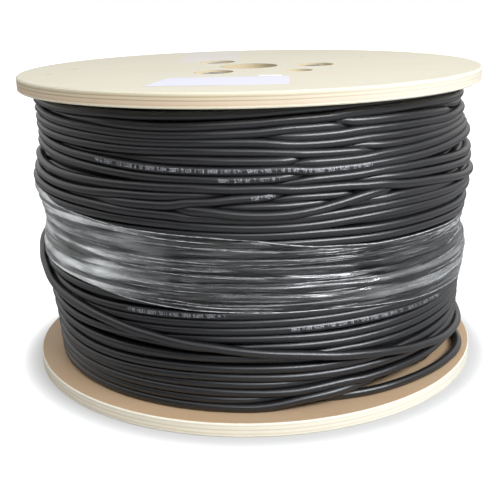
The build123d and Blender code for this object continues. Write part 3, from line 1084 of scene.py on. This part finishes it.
class DRUM_OT_winding(bpy.types.Operator):
    """Winds the cable: the turns in sight by their routes, and a layer of neat turns under them"""

    bl_idname = "cable_drum.winding"
    bl_label = "Winding"

    def execute(self, context):
        settings = context.scene.winding_settings
        SHARED["jacket"] = jacket_finish(tuple(settings.colour), settings.roughness)
        height, radius = wind(settings.passes)
        SHARED["height"], SHARED["radius"] = height, radius
        shown = len(TURNS)
        third = math.ceil(shown / 3)
        for number, start in enumerate(range(0, shown, third), start=1):
            turns = range(start, min(start + third, shown))
            wound(f"cable_turns_{number}", turns, settings.sides, 1)
        wound("cable_under_turns", range(shown, len(height)), sides=8, step=2)
        points, faces = print_marks(height, radius)
        settle(new_piece("metre_marks", points, faces, ink_finish(), smooth=False), "cable_jacket")
        return {"FINISHED"}


def wound(name, turns, sides, step):
    """Some of the turns as one piece, which stands for the wound cable."""
    piece = bundle(name, turns, SHARED["height"], SHARED["radius"], sides, step, SHARED["jacket"])
    settle(piece, "cable_jacket", "cable_winding")


class DRUM_OT_film(bpy.types.Operator):
    """Stretches the clear film round the middle of the winding"""

    bl_idname = "cable_drum.film"
    bl_label = "Clear film"

    def execute(self, context):
        settings = context.scene.film_settings
        finish = film_finish(tuple(settings.colour))
        level, skin = film_shell(SHARED["height"], SHARED["radius"], settings.rows)
        angle = np.radians(column_azimuths())[None, :]
        points = np.stack([skin * np.cos(angle), skin * np.sin(angle), level], -1) * MM
        faces = grid_faces(settings.rows, COLUMNS)
        piece = new_piece("clear_film", points.reshape(-1, 3), faces, finish)
        settle(piece, "clear_film", "stretch_film")
        gathered = crease_finish(tuple(settings.colour))
        rng = np.random.default_rng(5)
        for name, (row, size) in FILM_EDGES.items():
            points, faces = film_bead(level[row], skin[row], rng, size)
            settle(new_piece(f"film_edge_{name}", points, faces, gathered), "clear_film")
        points, faces = film_creases(level, skin)
        settle(new_piece("film_creases", points, faces, gathered), "clear_film")
        return {"FINISHED"}


class DRUM_OT_stage(bpy.types.Operator):
    """Sets up the floor, the lamps and the camera"""

    bl_idname = "cable_drum.stage"
    bl_label = "Stage"

    def execute(self, context):
        settings = context.scene.stage_settings
        scene = context.scene
        corners = [(x * FLOOR_REACH, y * FLOOR_REACH, 0) for x, y in ((-1, -1), (1, -1), (1, 1), (-1, 1))]
        material = floor_finish(settings.floor_glow)
        floor = new_piece("stage_floor", corners, [(0, 1, 2, 3)], material, smooth=False)
        scene.world = studio_world(settings.front, settings.back)
        for name, (place, size, colour) in LAMPS.items():
            lamp(f"{name}_lamp", place, size, colour, getattr(settings, f"{name}_power"))
        place_camera(scene)
        scene.view_settings.view_transform = "Standard"
        return {"FINISHED"}


def lamp(name, place, size, colour, power):
    """One soft rectangular lamp."""
    light = bpy.data.lights.new(name, "AREA")
    light.color = colour
    light.shape = "RECTANGLE"
    light.size, light.size_y = size
    light.energy = power
    holder = bpy.data.objects.new(name, light)
    bpy.context.scene.collection.objects.link(holder)
    holder.location = place
    holder.rotation_euler = (LAMP_AIM - Vector(place)).to_track_quat("-Z", "Y").to_euler()


def place_camera(scene):
    """The camera at the photograph's angle, with its slight roll."""
    camera = bpy.data.cameras.new("camera")
    camera.lens = CAMERA_LENS
    camera.sensor_width = SENSOR_WIDTH
    camera.clip_start, camera.clip_end = 0.01, 50.0
    holder = bpy.data.objects.new("camera", camera)
    scene.collection.objects.link(holder)
    ahead = (CAMERA_AIM - CAMERA_PLACE).normalized()
    right = ahead.cross(Vector((0, 0, 1))).normalized()
    up = right.cross(ahead)
    cosine, sine = math.cos(CAMERA_ROLL), math.sin(CAMERA_ROLL)
    rolled_right = cosine * right + sine * up
    rolled_up = cosine * up - sine * right
    turn = Matrix((rolled_right, rolled_up, -ahead)).transposed().to_4x4()
    holder.matrix_world = Matrix.Translation(CAMERA_PLACE) @ turn
    scene.camera = holder


OPERATORS = (DRUM_OT_winding, DRUM_OT_slack_turn, DRUM_OT_film, DRUM_OT_wood, DRUM_OT_stage)
GROUPS = {
    "winding_settings": WindingSettings,
    "drum_settings": DrumSettings,
    "film_settings": FilmSettings,
    "stage_settings": StageSettings,
}


class DRUM_PT_panel(bpy.types.Panel):
    """Lists the drum's pieces and their settings"""

    bl_idname = "DRUM_PT_panel"
    bl_label = "Cable drum"
    bl_space_type = "VIEW_3D"
    bl_region_type = "UI"
    bl_category = "Cable drum"

    def draw(self, context):
        for operator in OPERATORS:
            self.layout.operator(operator.bl_idname)
        for name, group in GROUPS.items():
            box = self.layout.box()
            for setting in group.__annotations__:
                box.prop(getattr(context.scene, name), setting)


def register():
    for group in GROUPS.values():
        bpy.utils.register_class(group)
    for name, group in GROUPS.items():
        setattr(bpy.types.Scene, name, PointerProperty(type=group))
    for operator in OPERATORS:
        bpy.utils.register_class(operator)
    bpy.utils.register_class(DRUM_PT_panel)


def unregister():
    bpy.utils.unregister_class(DRUM_PT_panel)
    for operator in reversed(OPERATORS):
        bpy.utils.unregister_class(operator)
    for name in GROUPS:
        delattr(bpy.types.Scene, name)
    for group in reversed(GROUPS.values()):
        bpy.utils.unregister_class(group)


def main():
    register()
    for operator in OPERATORS:
        group, action = operator.bl_idname.split(".")
        getattr(getattr(bpy.ops, group), action)()


if __name__ == "__main__":
    main()
